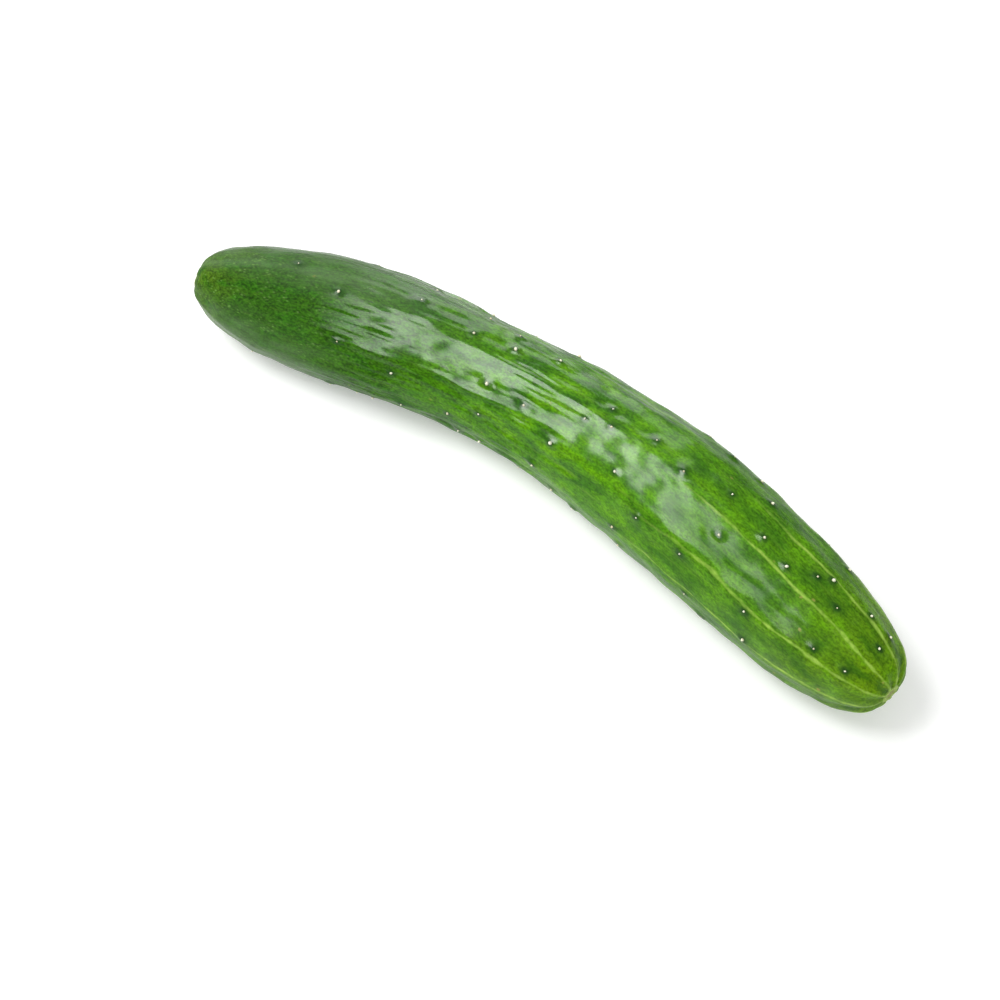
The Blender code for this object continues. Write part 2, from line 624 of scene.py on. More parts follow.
class Recipe:
    """The node tree of one material, written step by step."""

    def __init__(self, name: str) -> None:
        """Starts a material with an empty tree.

        Args:
            name: The material's name.
        """
        self.material = bpy.data.materials.new(name)
        self.material.use_nodes = True
        self.tree = self.material.node_tree
        self.tree.nodes.clear()

    def node(
        self,
        kind: str,
        settings: Mapping[str, Any] | None = None,
        inputs: Mapping[Any, Any] | None = None,
    ) -> bpy.types.Node:
        """Adds a node.

        Args:
            kind: The node's type.
            settings: Its own settings, set first. A ramp's stops are (place, colour) pairs.
            inputs: The value, amount or socket that goes to each of its sockets.

        Returns:
            The new node.
        """
        made = self.tree.nodes.new(kind)
        for name, value in (settings or {}).items():
            if name == "stops":
                self._set_stops(made.color_ramp, value)
            else:
                setattr(made, name, value)
        for key, value in (inputs or {}).items():
            self._feed(made.inputs[key], value)
        return made

    def _set_stops(self, ramp: bpy.types.ColorRamp, stops: Sequence[tuple[float, Colour]]) -> None:
        """Gives a colour ramp its stops.

        Args:
            ramp: The ramp.
            stops: (place, colour) pairs, in order.
        """
        while len(ramp.elements) < len(stops):
            ramp.elements.new(1.0)
        for element, (place, colour) in zip(ramp.elements, stops):
            element.position = place
            element.color = (*colour, 1.0)

    def _feed(self, socket: bpy.types.NodeSocket, value: Any) -> None:
        """Links an amount or a socket, or sets a plain value.

        Args:
            socket: The socket that is fed.
            value: What goes to it.
        """
        if isinstance(value, Amount):
            self.tree.links.new(value.socket, socket)
        elif isinstance(value, bpy.types.NodeSocket):
            self.tree.links.new(value, socket)
        elif socket.type == "RGBA":
            socket.default_value = (*value, 1.0)
        else:
            socket.default_value = value

    def attribute(self, name: str) -> bpy.types.Node:
        """Reads what is stored at the points of the mesh."""
        return self.node("ShaderNodeAttribute", {"attribute_name": name})

    def number(self, name: str) -> Amount:
        """A number that is stored at the points of the mesh."""
        return Amount(self, self.attribute(name).outputs["Fac"])

    def parts(self, vector: bpy.types.NodeSocket) -> tuple[Amount, Amount, Amount]:
        """The three parts of a vector."""
        node = self.node("ShaderNodeSeparateXYZ", inputs={0: vector})
        return Amount(self, node.outputs[0]), Amount(self, node.outputs[1]), Amount(self, node.outputs[2])

    def grain(self, place: bpy.types.NodeSocket, grain: Grain) -> Amount:
        """Reads a finish's noise.

        Args:
            place: The coordinates that it is read at.
            grain: The noise.

        Returns:
            The noise, brought to its levels if it has them.
        """
        scale = tuple(1.0 / width for width in grain.size)
        inputs = {"Vector": place, "Scale": scale, "Location": (grain.shift,) * 3}
        scaled = self.node("ShaderNodeMapping", inputs=inputs).outputs[0]
        inputs = {"Vector": scaled, "Scale": 1.0, "Detail": grain.detail}
        noise_there = Amount(self, self.node("ShaderNodeTexNoise", inputs=inputs).outputs["Fac"])
        return noise_there.rise(*grain.levels) if grain.levels else noise_there

    def cells(self, place: bpy.types.NodeSocket, size: Size) -> Amount:
        """The distance to the middle of the nearest cell.

        Args:
            place: The coordinates that it is read at.
            size: How wide the cells are along each axis, in metres.

        Returns:
            The distance, where 1 is about a cell's width.
        """
        inputs = {"Vector": place, "Scale": tuple(1.0 / width for width in size)}
        scaled = self.node("ShaderNodeMapping", inputs=inputs).outputs[0]
        made = self.node("ShaderNodeTexVoronoi", inputs={"Vector": scaled, "Scale": 1.0})
        return Amount(self, made.outputs["Distance"])

    def mix(self, first: Any, second: Any, share: Any) -> bpy.types.NodeSocket:
        """A colour between two, nearer to the second as share goes from 0 to 1."""
        inputs = {0: share, 6: first, 7: second}  # 6 and 7 are the node's two colours
        return self.node("ShaderNodeMix", {"data_type": "RGBA"}, inputs).outputs[2]

    def tint(self, colour: Any, strength: Amount) -> bpy.types.NodeSocket:
        """Makes a colour darker or lighter.

        Args:
            colour: The colour.
            strength: How light it gets. 1 leaves it as it is.

        Returns:
            The new colour.
        """
        grey = self.node("ShaderNodeCombineXYZ", inputs={0: strength, 1: strength, 2: strength}).outputs[0]
        settings = {"operation": "MULTIPLY"}
        return self.node("ShaderNodeVectorMath", settings, {0: colour, 1: grey}).outputs[0]

    def bump(self, height: Amount, distance: float) -> bpy.types.NodeSocket:
        """Small relief that only the shading shows, as high as height times distance."""
        inputs = {"Height": height, "Distance": distance, "Strength": 1.0}
        return self.node("ShaderNodeBump", inputs=inputs).outputs[0]

    def coat_with(self, inputs: Mapping[str, Any]) -> bpy.types.Material:
        """Ends the recipe with the surface itself.

        Args:
            inputs: What goes to the sockets of its Principled shader.

        Returns:
            The finished material.
        """
        shader = self.node("ShaderNodeBsdfPrincipled", inputs=inputs)
        self.node("ShaderNodeOutputMaterial", inputs={"Surface": shader.outputs[0]})
        return self.material


@dataclass(frozen=True)
class SkinReading:
    """What the skin's finish reads at a place."""

    place: bpy.types.NodeSocket  # where it would be on a straight fruit
    along: Amount  # the distance from the stem end
    reach: Amount  # the distance from the centre line
    outer: Amount  # 1 on the outer side of the bend, and -1 on its inner side
    upper: Amount  # 1 on top, and -1 underneath
    clouds: Amount  # the noises that several colours share, from the widest to the finest
    mottle: Amount
    fine: Amount


@dataclass(frozen=True)
class Zone:
    """A part of the skin that something covers, fading in along the fruit and round it."""

    along: Band  # distances from the stem end
    around: Band  # from -1 on one side of the fruit to 1 on the other
    share: float  # how much of it there is where it is complete

    def cover(self, along: Amount, around: Amount) -> Amount:
        """How much of it there is at a place."""
        return around.rise(*self.around) * along.rise(*self.along) * self.share


@dataclass(frozen=True)
class SkinFinish:
    """Waxy green skin: dark by the stem, yellower and streaked by the blossom."""

    shades: tuple[tuple[float, Colour], ...] = (
        (0.00, (0.058, 0.130, 0.008)),
        (0.08, (0.022, 0.082, 0.004)),
        (0.22, (0.026, 0.100, 0.002)),
        (0.40, (0.050, 0.178, 0.001)),
        (0.62, (0.066, 0.214, 0.003)),
        (0.84, (0.062, 0.188, 0.006)),
        (1.00, (0.120, 0.240, 0.003)),
    )
    lively: Colour = (0.096, 0.270, 0.001)
    deep: Colour = (0.021, 0.100, 0.003)
    vein: Colour = (0.140, 0.290, 0.022)
    streak: Colour = (0.310, 0.500, 0.075)
    fleck: Colour = (0.160, 0.310, 0.070)
    # Grey bloom colour: partly real wax bloom, partly painted sheen and painted reflection of the white
    # table.
    bloom_and_sheen: Colour = (0.150, 0.235, 0.115)
    # Dark green round each spine: partly the wart's own tone, partly painted shade round the spine's foot.
    wart: Colour = (0.012, 0.052, 0.008)
    cork: Colour = (0.30, 0.27, 0.07)

    # The noises that vary it. Most of them are drawn out along the fruit.
    broad: Grain = Grain((26 * MM, 9 * MM, 9 * MM))
    clouds: Grain = Grain((8 * MM, 3.2 * MM, 3.2 * MM), 4.0, 3.1)
    mottle: Grain = Grain((2.4 * MM, 1.1 * MM, 1.1 * MM), 3.0, 6.4)
    fine: Grain = Grain((0.75 * MM, 0.45 * MM, 0.45 * MM), 3.0, 9.7)
    threads: Grain = Grain((9 * MM, 0.70 * MM, 0.70 * MM), 2.0, 5.5)
    veins: Grain = Grain((15 * MM, 0.75 * MM, 0.75 * MM), 2.0, 12.5, (0.56, 0.74))
    wax_patches: Grain = Grain((13 * MM, 6 * MM, 6 * MM), 3.0, 28.0, (0.32, 0.58))
    bloom_and_sheen_patches: Grain = Grain((14 * MM, 3.4 * MM, 3.4 * MM), 4.0, 21.0, (0.34, 0.66))
    fleck_clouds: Grain = Grain((10 * MM, 5 * MM, 5 * MM), 3.0, 31.0, (0.34, 0.60))
    fleck_gaps: Grain = Grain((2.6 * MM, 1.3 * MM, 1.3 * MM), 2.0, 35.0, (0.44, 0.62))
    streak_wander: Grain = Grain((34 * MM, 16 * MM, 16 * MM), 3.0, 41.0)
    streak_breaks: Grain = Grain((4.5 * MM, 2.4 * MM, 2.4 * MM), 4.0, 51.0, (0.30, 0.68))
    streak_rags: Grain = Grain((1.6 * MM, 0.8 * MM, 0.8 * MM), 2.0, 55.0, (0.28, 0.60))
    streak_starts: Grain = Grain((60 * MM, 7 * MM, 7 * MM), 1.0, 61.0)
    cork_grain: Grain = Grain((0.6 * MM, 0.6 * MM, 0.6 * MM), 3.0, 71.0, (0.35, 0.55))
    fleck_cells: Size = (1.4 * MM, 0.72 * MM, 0.72 * MM)
    cork_cells: Size = (9 * MM, 6 * MM, 6 * MM)

    # The levels of those noises between which a colour comes in.
    lively_levels: Band = (0.50, 0.62)
    deep_levels: Band = (0.50, 0.36)
    gap_levels: Band = (0.72, 0.34)
    blotch_levels: Band = (0.34, 0.66)
    speck_levels: Band = (0.32, 0.68)
    fleck_levels: Band = (0.46, 0.10)
    cork_levels: Band = (0.085, 0.035)

    # Where along the fruit the colours change, as distances from the stem end.
    greening: Band = (50 * MM, 105 * MM)
    calming: Band = (100 * MM, 150 * MM)
    darkening: Band = (96 * MM, 140 * MM)
    flecking: Band = (78 * MM, 6 * MM)
    streaking: Band = (88 * MM, 136 * MM)
    corking: Band = (150 * MM, 200 * MM)

    # How strong they are, before that change and after it.
    drift: float = 0.16  # how far the broad noise moves the shades, as a share of the length
    patchiness: Span = (0.80, 0.48)
    blotch_strength: Span = (0.40, 0.30)
    speck_strength: Span = (0.78, 0.56)
    vein_strength: Span = (0.12, 0.40)
    fleck_strength: Span = (0.12, 0.64)
    cork_strength: Span = (0.35, 0.85)
    wart_strength: float = 0.95
    gap_strength: float = 0.45

    # The pale streaks on the ridges, and the darker gaps between them, partly their own tone and partly
    # painted shade in the hollows.
    streaks: int = 10
    streak_phase: float = math.radians(30)
    streak_sway: float = 0.40  # in radians, from one end of their noise to the other
    streak_width: float = 0.56 * MM
    streak_crowding: float = 0.20  # its largest width, as a share of the ridges' spacing
    streak_core: float = 0.10  # the share of the width where it is palest
    streak_widths: Span = (0.50, 1.30)  # where it nearly breaks, and where it is whole
    streak_paleness: Span = (0.35, 1.0)
    rag_paleness: Span = (0.50, 1.0)
    streak_delay: float = 80 * MM  # how far the noise of their starts puts them off
    ridge_gap: Band = (0.08, 0.46)  # distances from a ridge, as shares of the ridges' spacing

    # The shiny wax.
    wax: float = 0.36  # over the middle
    wax_start: Band = (32 * MM, 60 * MM)
    wax_end: Band = (118 * MM, 162 * MM)
    wax_left: float = 0.38  # how much of it is left beyond its end
    wax_evenness: Span = (0.62, 1.0)
    shoulder_wax: Zone = Zone((125 * MM, 60 * MM), (0.45, 0.85), 0.42)
    belly_wax: Zone = Zone((60 * MM, 25 * MM), (0.25, -0.25), 0.45)
    side_wax_evenness: Span = (0.60, 1.0)
    wart_wax: float = 0.22

    # The grey bloom: partly the skin's real wax bloom, partly a painted sheen outside the bend by the stem
    # and a painted reflection of the white table low down at both ends.
    shoulder_bloom_and_sheen: Zone = Zone((84 * MM, 26 * MM), (-0.40, 0.15), 0.44)
    belly_bloom_and_reflection: Zone = Zone((54 * MM, 18 * MM), (0.85, 0.10), 0.50)
    far_belly_reflection: Zone = Zone((138 * MM, 172 * MM), (0.70, 0.10), 0.30)
    most_bloom_and_sheen: float = 0.50
    bloom_and_sheen_evenness: Span = (0.40, 1.0)

    # The surface.
    roughness: float = 0.50
    blotch_roughness: float = 0.10
    bloom_and_sheen_roughness: float = 0.20
    wax_roughness: float = 0.20
    bare_shine: float = 0.02  # of the skin under the wax
    fuzz: float = 0.10
    fuzz_roughness: float = 0.30
    fine_relief: float = 0.120  # in millimetres, as the next two
    mottle_relief: float = 0.07
    thread_relief: float = 0.24

    def material(self, form: FruitForm) -> bpy.types.Material:
        """Writes the skin's material.

        Args:
            form: The fruit, whose length the colours follow.

        Returns:
            The material. It reads the mesh's own attributes.
        """
        recipe = Recipe("cucumber_skin")
        spot = self.read(recipe)
        warts = recipe.number("wart")
        bloom_and_sheen = self.bloom_and_sheen_share(recipe, spot)
        off = self.ridge_distance(recipe, spot)

        colour = self.green(recipe, spot, form.length)
        # Grey bloom, with painted sheen and a painted reflection of the table mixed into it.
        colour = recipe.mix(colour, self.bloom_and_sheen, bloom_and_sheen)
        colour = recipe.mix(colour, self.fleck, self.fleck_share(recipe, spot))
        # Darker gaps between the ridges: partly their own tone, partly painted shade in the hollows.
        colour = recipe.mix(colour, self.deep, self.gap_tone_and_painted_shade(spot, off))
        colour = recipe.mix(colour, self.streak, self.streak_share(recipe, spot, off))
        # Darker green round each spine, partly own tone and partly painted shade round its foot.
        colour = recipe.mix(colour, self.wart, warts * self.wart_strength)
        colour = recipe.mix(colour, self.cork, self.cork_share(recipe, spot))

        blotches = spot.mottle.rise(*self.blotch_levels) - 0.5
        threads = recipe.grain(spot.place, self.threads) * recipe.number("crease")
        relief = spot.fine * self.fine_relief + spot.mottle * self.mottle_relief
        relief = relief + threads * self.thread_relief
        inputs = {
            "Base Color": colour,
            "Roughness": self.roughness + blotches * self.blotch_roughness + bloom_and_sheen * self.bloom_and_sheen_roughness,
            "Normal": recipe.bump(relief, MM),
            "Specular IOR Level": self.bare_shine,
            "Sheen Weight": self.fuzz,
            "Sheen Roughness": self.fuzz_roughness,
            "Coat Weight": self.wax_share(recipe, spot) + warts * self.wart_wax,
            "Coat Roughness": self.wax_roughness,
        }
        return recipe.coat_with(inputs)

    def read(self, recipe: Recipe) -> SkinReading:
        """Reads where on the fruit the skin lies, and the noises that several colours share.

        Args:
            recipe: The skin's recipe.

        Returns:
            What is read.
        """
        place = recipe.attribute("straight").outputs["Vector"]
        along, aside, height = recipe.parts(place)
        reach = (aside * aside + height * height) ** 0.5
        noises = [recipe.grain(place, grain) for grain in (self.clouds, self.mottle, self.fine)]
        return SkinReading(place, along, reach, aside / reach, height / reach, *noises)

    def green(self, recipe: Recipe, spot: SkinReading, length: float) -> bpy.types.NodeSocket:
        """The mottled green that lies under all the marks.

        Args:
            recipe: The skin's recipe.
            spot: What is read where it lies.
            length: The fruit's length.

        Returns:
            The colour.
        """
        shift = (recipe.grain(spot.place, self.broad) - 0.5) * self.drift
        ramp = recipe.node("ShaderNodeValToRGB", {"stops": self.shades}, {0: spot.along / length + shift})
        grown = spot.along.rise(*self.greening)
        patchy = between(spot.along.rise(*self.calming), *self.patchiness)
        lively = spot.clouds.rise(*self.lively_levels) * patchy * grown
        colour = recipe.mix(ramp.outputs[0], self.lively, lively)
        colour = recipe.mix(colour, self.deep, spot.clouds.rise(*self.deep_levels) * patchy)
        blotches = spot.mottle.rise(*self.blotch_levels) - 0.5
        specks = spot.fine.rise(*self.speck_levels) - 0.5
        shade = blotches * between(grown, *self.blotch_strength)
        shade = shade + specks * between(grown, *self.speck_strength)
        colour = recipe.tint(colour, 1.0 + shade)
        veins = recipe.grain(spot.place, self.veins)
        return recipe.mix(colour, self.vein, veins * between(grown, *self.vein_strength))

    def wax_share(self, recipe: Recipe, spot: SkinReading) -> Amount:
        """How much shiny wax lies on the skin.

        Args:
            recipe: The skin's recipe.
            spot: What is read where it lies.

        Returns:
            Most of it over the middle, and some by the stem, outside the bend and underneath.
        """
        patches = recipe.grain(spot.place, self.wax_patches)
        ended = spot.along.rise(*self.wax_end)
        middle = spot.along.rise(*self.wax_start) * between(ended, 1.0, self.wax_left)
        shoulder = self.shoulder_wax.cover(spot.along, spot.outer)
        belly = self.belly_wax.cover(spot.along, spot.upper)
        sides = (shoulder + belly) * between(patches, *self.side_wax_evenness)
        return middle * between(patches, *self.wax_evenness) * self.wax + sides

    def bloom_and_sheen_share(self, recipe: Recipe, spot: SkinReading) -> Amount:
        """How much grey bloom lies on the skin, partly real wax bloom and partly painted sheen and painted
        reflection of the table.

        Args:
            recipe: The skin's recipe.
            spot: What is read where it lies.

        Returns:
            Most of it by the stem, outside the bend (painted sheen) and low down (painted reflection of
            the table), and a little low down by the blossom (painted reflection).
        """
        patches = recipe.grain(spot.place, self.bloom_and_sheen_patches)
        shoulder = self.shoulder_bloom_and_sheen.cover(spot.along, spot.outer)
        belly = self.belly_bloom_and_reflection.cover(spot.along, spot.upper)
        far_reflection = self.far_belly_reflection.cover(spot.along, spot.upper)
        cover = (shoulder + belly + far_reflection).at_most(self.most_bloom_and_sheen)
        return between(patches, *self.bloom_and_sheen_evenness) * cover

    def fleck_share(self, recipe: Recipe, spot: SkinReading) -> Amount:
        """How much of the pale flecks shows.

        Args:
            recipe: The skin's recipe.
            spot: What is read where it lies.

        Returns:
            Fine dashes by the stem, and few elsewhere.
        """
        dashes = recipe.cells(spot.place, self.fleck_cells).rise(*self.fleck_levels)
        clouds = recipe.grain(spot.place, self.fleck_clouds)
        gaps = recipe.grain(spot.place, self.fleck_gaps)
        return dashes * clouds * gaps * between(spot.along.rise(*self.flecking), *self.fleck_strength)

    def ridge_distance(self, recipe: Recipe, spot: SkinReading) -> Amount:
        """How far the nearest ridge is.

        Args:
            recipe: The skin's recipe.
            spot: What is read where it lies.

        Returns:
            The distance, as a share of the ridges' spacing.
        """
        sway = (recipe.grain(spot.place, self.streak_wander) - 0.5) * self.streak_sway
        angle = spot.upper.turn_with(spot.outer) + sway - self.streak_phase
        turns = angle * (self.streaks / (2.0 * math.pi))
        return abs(turns - turns.nearest_whole())

    def gap_tone_and_painted_shade(self, spot: SkinReading, off: Amount) -> Amount:
        """How much darker the skin is between the ridges: partly its own tone, partly painted shade in the
        hollows there.

        Args:
            spot: What is read where it lies.
            off: How far the nearest ridge is, as a share of the ridges' spacing.

        Returns:
            Nothing by the stem, and patches of it by the blossom.
        """
        gap = off.rise(*self.ridge_gap) * spot.clouds.rise(*self.gap_levels)
        return gap * spot.along.rise(*self.darkening) * self.gap_strength

    def streak_share(self, recipe: Recipe, spot: SkinReading, off: Amount) -> Amount:
        """How much of the pale streaks shows: one on each ridge, drawn together at the blossom.

        Args:
            recipe: The skin's recipe.
            spot: What is read where it lies.
            off: How far the nearest ridge is, as a share of the ridges' spacing.

        Returns:
            1 where a streak is palest, and 0 beside it.
        """
        spacing = spot.reach * (2.0 * math.pi / self.streaks)
        breaks = recipe.grain(spot.place, self.streak_breaks)
        rags = recipe.grain(spot.place, self.streak_rags)
        width = (spacing * self.streak_crowding).at_most(self.streak_width)
        width = width * between(breaks, *self.streak_widths)
        line = (off * spacing).rise(width, width * self.streak_core)
        late = recipe.grain(spot.place, self.streak_starts) * self.streak_delay
        begun = (spot.along - late).rise(*self.streaking)
        return line * begun * between(breaks, *self.streak_paleness) * between(rags, *self.rag_paleness)

    def cork_share(self, recipe: Recipe, spot: SkinReading) -> Amount:
        """Where small corky specks lie.

        Args:
            recipe: The skin's recipe.
            spot: What is read where it lies.

        Returns:
            A few specks, most of them by the blossom.
        """
        specks = recipe.cells(spot.place, self.cork_cells).rise(*self.cork_levels)
        rough = recipe.grain(spot.place, self.cork_grain)
        return specks * rough * between(spot.along.rise(*self.corking), *self.cork_strength)


@dataclass(frozen=True)
class SpineFinish:
    """Cream-white spine stubs, browner at their feet, and tan where they are old."""

    tip: Colour = (0.88, 0.89, 0.68)
    old: Colour = (0.66, 0.57, 0.32)
    foot: Colour = (0.36, 0.36, 0.18)
    speckle: Grain = Grain((0.3 * MM, 0.3 * MM, 0.3 * MM), 3.0)
    foot_end: Band = (0.05, 0.6)  # shares of the height
    paleness: Span = (0.75, 1.25)
    roughness: Span = (0.38, 0.58)
    relief: float = 0.03 * MM

    def material(self) -> bpy.types.Material:
        """Writes the spines' material.

        Returns:
            The material. It reads how high a point is on its spine, and how old the spine is.
        """
        recipe = Recipe("cucumber_spine")
        place = recipe.node("ShaderNodeTexCoord").outputs["Object"]
        speckle = recipe.grain(place, self.speckle)
        share = recipe.number("tip").rise(*self.foot_end) * between(speckle, *self.paleness)
        fresh = recipe.mix(self.tip, self.old, recipe.number("age"))
        inputs = {
            "Base Color": recipe.mix(self.foot, fresh, share),
            "Roughness": between(speckle, *self.roughness),
            "Normal": recipe.bump(speckle, self.relief),
        }
        return recipe.coat_with(inputs)


@dataclass(frozen=True)
class ScarFinish:
    """Dry cork: a pale rim round a browner, fissured middle."""

    name: str
    rim: Colour
    middle: Colour
    edge: Colour
    rough: Grain = Grain((0.7 * MM, 0.7 * MM, 0.7 * MM), 5.0)
    wobble: float = 0.35
    rim_start: Band = (0.25, 0.75)  # shares of the radius
    rim_end: Band = (0.92, 1.08)
    lightness: Span = (0.55, 1.45)
    roughness: Span = (0.62, 0.82)
    crack_cells: Size = (0.55 * MM, 0.55 * MM, 0.55 * MM)
    crack_share: float = 0.6
    relief: float = 0.15 * MM

    def material(self) -> bpy.types.Material:
        """Writes a scar's material.

        Returns:
            The material. It reads how far a point is from the scar's middle.
        """
        recipe = Recipe(self.name)
        place = recipe.node("ShaderNodeTexCoord").outputs["Object"]
        rough = recipe.grain(place, self.rough)
        out = recipe.number("out") + (rough - 0.5) * self.wobble
        colour = recipe.mix(self.middle, self.rim, out.rise(*self.rim_start))
        colour = recipe.mix(colour, self.edge, out.rise(*self.rim_end))
        cracks = recipe.cells(place, self.crack_cells)
        inputs = {
            "Base Color": recipe.tint(colour, between(rough, *self.lightness)),
            "Roughness": between(rough, *self.roughness),
            "Normal": recipe.bump(rough + cracks * self.crack_share, self.relief),
        }
        return recipe.coat_with(inputs)


@dataclass(frozen=True)
class FloorFinish:
    """A plain matt white table, lit a little from below."""

    colour: Colour = (0.80, 0.80, 0.80)
    glow: float = 0.28

    def material(self) -> bpy.types.Material:
        """Writes the table's material.

        Returns:
            The material.
        """
        inputs = {
            "Base Color": self.colour,
            "Roughness": 1.0,
            "Specular IOR Level": 0.0,
            "Emission Color": (1.0, 1.0, 1.0),
            "Emission Strength": self.glow,
        }
        return Recipe("table_white").coat_with(inputs)


# ------------------------------------------------------------------------------------ the pieces


def add_piece(piece: bpy.types.Object, material: bpy.types.Material) -> None:
    """Dresses a finished piece, and lets it ride on the fruit's body.

    Args:
        piece: The finished piece.
        material: Its finish.
    """
    piece.data.materials.clear()
    piece.data.materials.append(material)
    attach(piece, BODY)
    log.info("%s: %d points, %d faces", piece.name, len(piece.data.vertices), len(piece.data.polygons))


@dataclass
class Skin:
    """The whole skin, from the rim of one scar to the rim of the other, closed under both."""

    form: FruitForm
    warts: Sequence[Wart]
    finish: SkinFinish = SkinFinish()
    sides: int = 58
    rings: int = 92
    end_rings: float = 7.0  # how much closer the rings lie at an end than in the middle
    rounding: int = 2
    profile_steps: int = 4000
    cup: Profile = (  # (share of a scar's radius, depth in metres)
        (0.35, 0.70 * MM),
        (0.70, 0.63 * MM),
        (0.88, 0.35 * MM),
    )
    press: float = 0.25 * MM  # over what height the table flattens the underside

    # The ridges and the lumps.
    ridges: int = 10
    ridge_phase: float = math.radians(30)
    ridge_height: Span = (0.09 * MM, 0.17 * MM)
    ridge_growth: Band = (60 * MM, 150 * MM)  # distances from the stem end
    ridge_sway: float = 0.10  # in radians
    wander: Lumps = Lumps((55 * MM, 25 * MM, 25 * MM), 1)
    lump_height: float = 0.40 * MM
    lumps: Lumps = Lumps((30 * MM, 13 * MM, 13 * MM), 11)
    ripple_height: float = 0.21 * MM
    ripples: Lumps = Lumps((8 * MM, 4.5 * MM, 4.5 * MM), 33)
    dimple_height: float = 0.07 * MM
    dimples: Lumps = Lumps((3.6 * MM, 2.3 * MM, 2.3 * MM), 6)
    end_fade: Band = (2.5 * MM, 8 * MM)  # radii. The tips within them are smooth

    # The folds, and the furrows half way between the ridges.
    wrinkle_height: float = 0.58 * MM
    wrinkling: Span = (0.16, 1.0)
    wrinkle_start: Band = (26 * MM, 50 * MM)  # distances from the stem end
    wrinkle_end: Band = (88 * MM, 124 * MM)
    wrinkle_patches: Lumps = Lumps((24 * MM, 10 * MM, 10 * MM), 5)
    wrinkle_levels: Band = (-0.5, 0.6)
    wrinkle_evenness: Span = (0.35, 1.0)
    folds: Lumps = Lumps((24 * MM, 2.6 * MM, 2.6 * MM), 44)
    fold_softness: float = 0.015
    fold_level: float = 0.37  # the folds' mean, which is taken off them
    small_folds: Lumps = Lumps((12 * MM, 1.4 * MM, 1.4 * MM), 10)
    small_fold_share: float = 0.33
    furrow_depth: float = 0.26 * MM
    furrow_width: float = 0.55 * MM
    furrow_crook: Lumps = Lumps((16 * MM, 8 * MM, 8 * MM), 7)
    furrow_sway: float = 0.08  # in radians
    furrow_patches: Lumps = Lumps((14 * MM, 6 * MM, 6 * MM), 9)
    furrow_levels: Band = (-0.7, 0.5)

    # The pleats round the scars.
    pucker_height: float = 0.22 * MM
    pucker_start: Band = (1.8 * MM, 3.2 * MM)  # radii
    pucker_end: Band = (4 * MM, 11 * MM)
    pucker_growth: Band = (22 * MM, 3 * MM)  # distances from the blossom end
    puckering: Span = (0.4, 1.0)  # by the stem, and by the blossom

    # A wart's shape, and the darker green round its spine, partly its own tone and partly painted shade
    # round the spine's foot. Its shares are of its radius or of its height.
    wart_reach: float = 2.2
    wart_tail: float = 1.7  # how much longer than wide it is, towards the stem
    wart_head: float = 1.2  # and towards the blossom
    moat_place: float = 1.25
    moat_width: float = 0.4
    moat_share: float = 0.05
    pit_radius: float = 0.55 * MM
    pit_share: float = 0.45
    halo_radius: float = 0.5 * MM  # to which a share of the wart's radius is added
    halo_growth: float = 0.70
    halo_shade: float = 0.42
    dot_radius: float = 0.85 * MM
    dot_shade: float = 0.58

    def build(self) -> bpy.types.Object:
        """Models the skin and dresses it.

        Returns:
            The skin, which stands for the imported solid.
        """
        piece = loft("skin", self.sections(), self.sides)
        subdivide(piece, self.rounding)
        points = read_points(piece)
        spots = self.form.locate(points)
        points = points + read_normals(piece) * self.relief(spots)[:, None]
        points[:, 2] = self.rest(points[:, 2])
        write_points(piece, points)
        write_attribute(piece, "straight", spots.straight)
        # Where the skin is painted darker round each spine, partly as shade round its foot.
        write_attribute(piece, "wart", self.wart_tone_and_painted_shade(spots))
        write_attribute(piece, "crease", self.wrinkled(spots))
        settle(piece)
        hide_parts("cucumber")
        add_piece(piece, self.finish.material(self.form))
        return piece

    def sections(self) -> list[Ring]:
        """Sets the rings of the skin, close together where the ends round off.

        Returns:
            The rings, from the middle of one end to the middle of the other.
        """
        start = self.form.end_distance(End.STEM, self.form.stem_scar)
        end = self.form.end_distance(End.BLOSSOM, self.form.blossom_scar)
        fine = np.linspace(0.0, 1.0, self.profile_steps + 1)
        along = start + (end - start) * (0.5 - 0.5 * np.cos(math.pi * fine))
        radius = self.form.skin_radius(along)
        steps = np.hypot(np.diff(along), np.diff(radius))
        middles = (radius[1:] + radius[:-1]) / 2.0
        closeness = 1.0 + self.end_rings * (1.0 - middles / self.form.blossom_radius) ** 2
        travelled = np.concatenate([[0.0], np.cumsum(steps * closeness)])
        wanted = np.linspace(0.0, travelled[-1], self.rings)
        chosen = np.interp(wanted, travelled, along)
        rings = [self.ring(float(place), float(self.form.skin_radius(place))) for place in chosen]
        return self.cup_rings(End.STEM) + rings + self.cup_rings(End.BLOSSOM)[::-1]

    def ring(self, along: float, radius: float) -> Ring:
        """One ring, a little large, because the rounding draws the skin in."""
        drawn_in = (2.0 + math.cos(2.0 * math.pi / self.sides)) / 3.0
        return Ring(Vector(self.form.centre(along)), Vector(self.form.forwards(along)), radius / drawn_in)

    def cup_rings(self, end: End) -> list[Ring]:
        """Sets the rings that close the skin under a scar.

        Args:
            end: The end with the scar.

        Returns:
            The rings, from the middle to the edge.
        """
        radius = self.form.scar_radius(end)
        inward = 1.0 if end is End.STEM else -1.0
        edge = self.form.end_distance(end, radius)
        return [self.ring(edge + inward * depth, share * radius) for share, depth in self.cup]

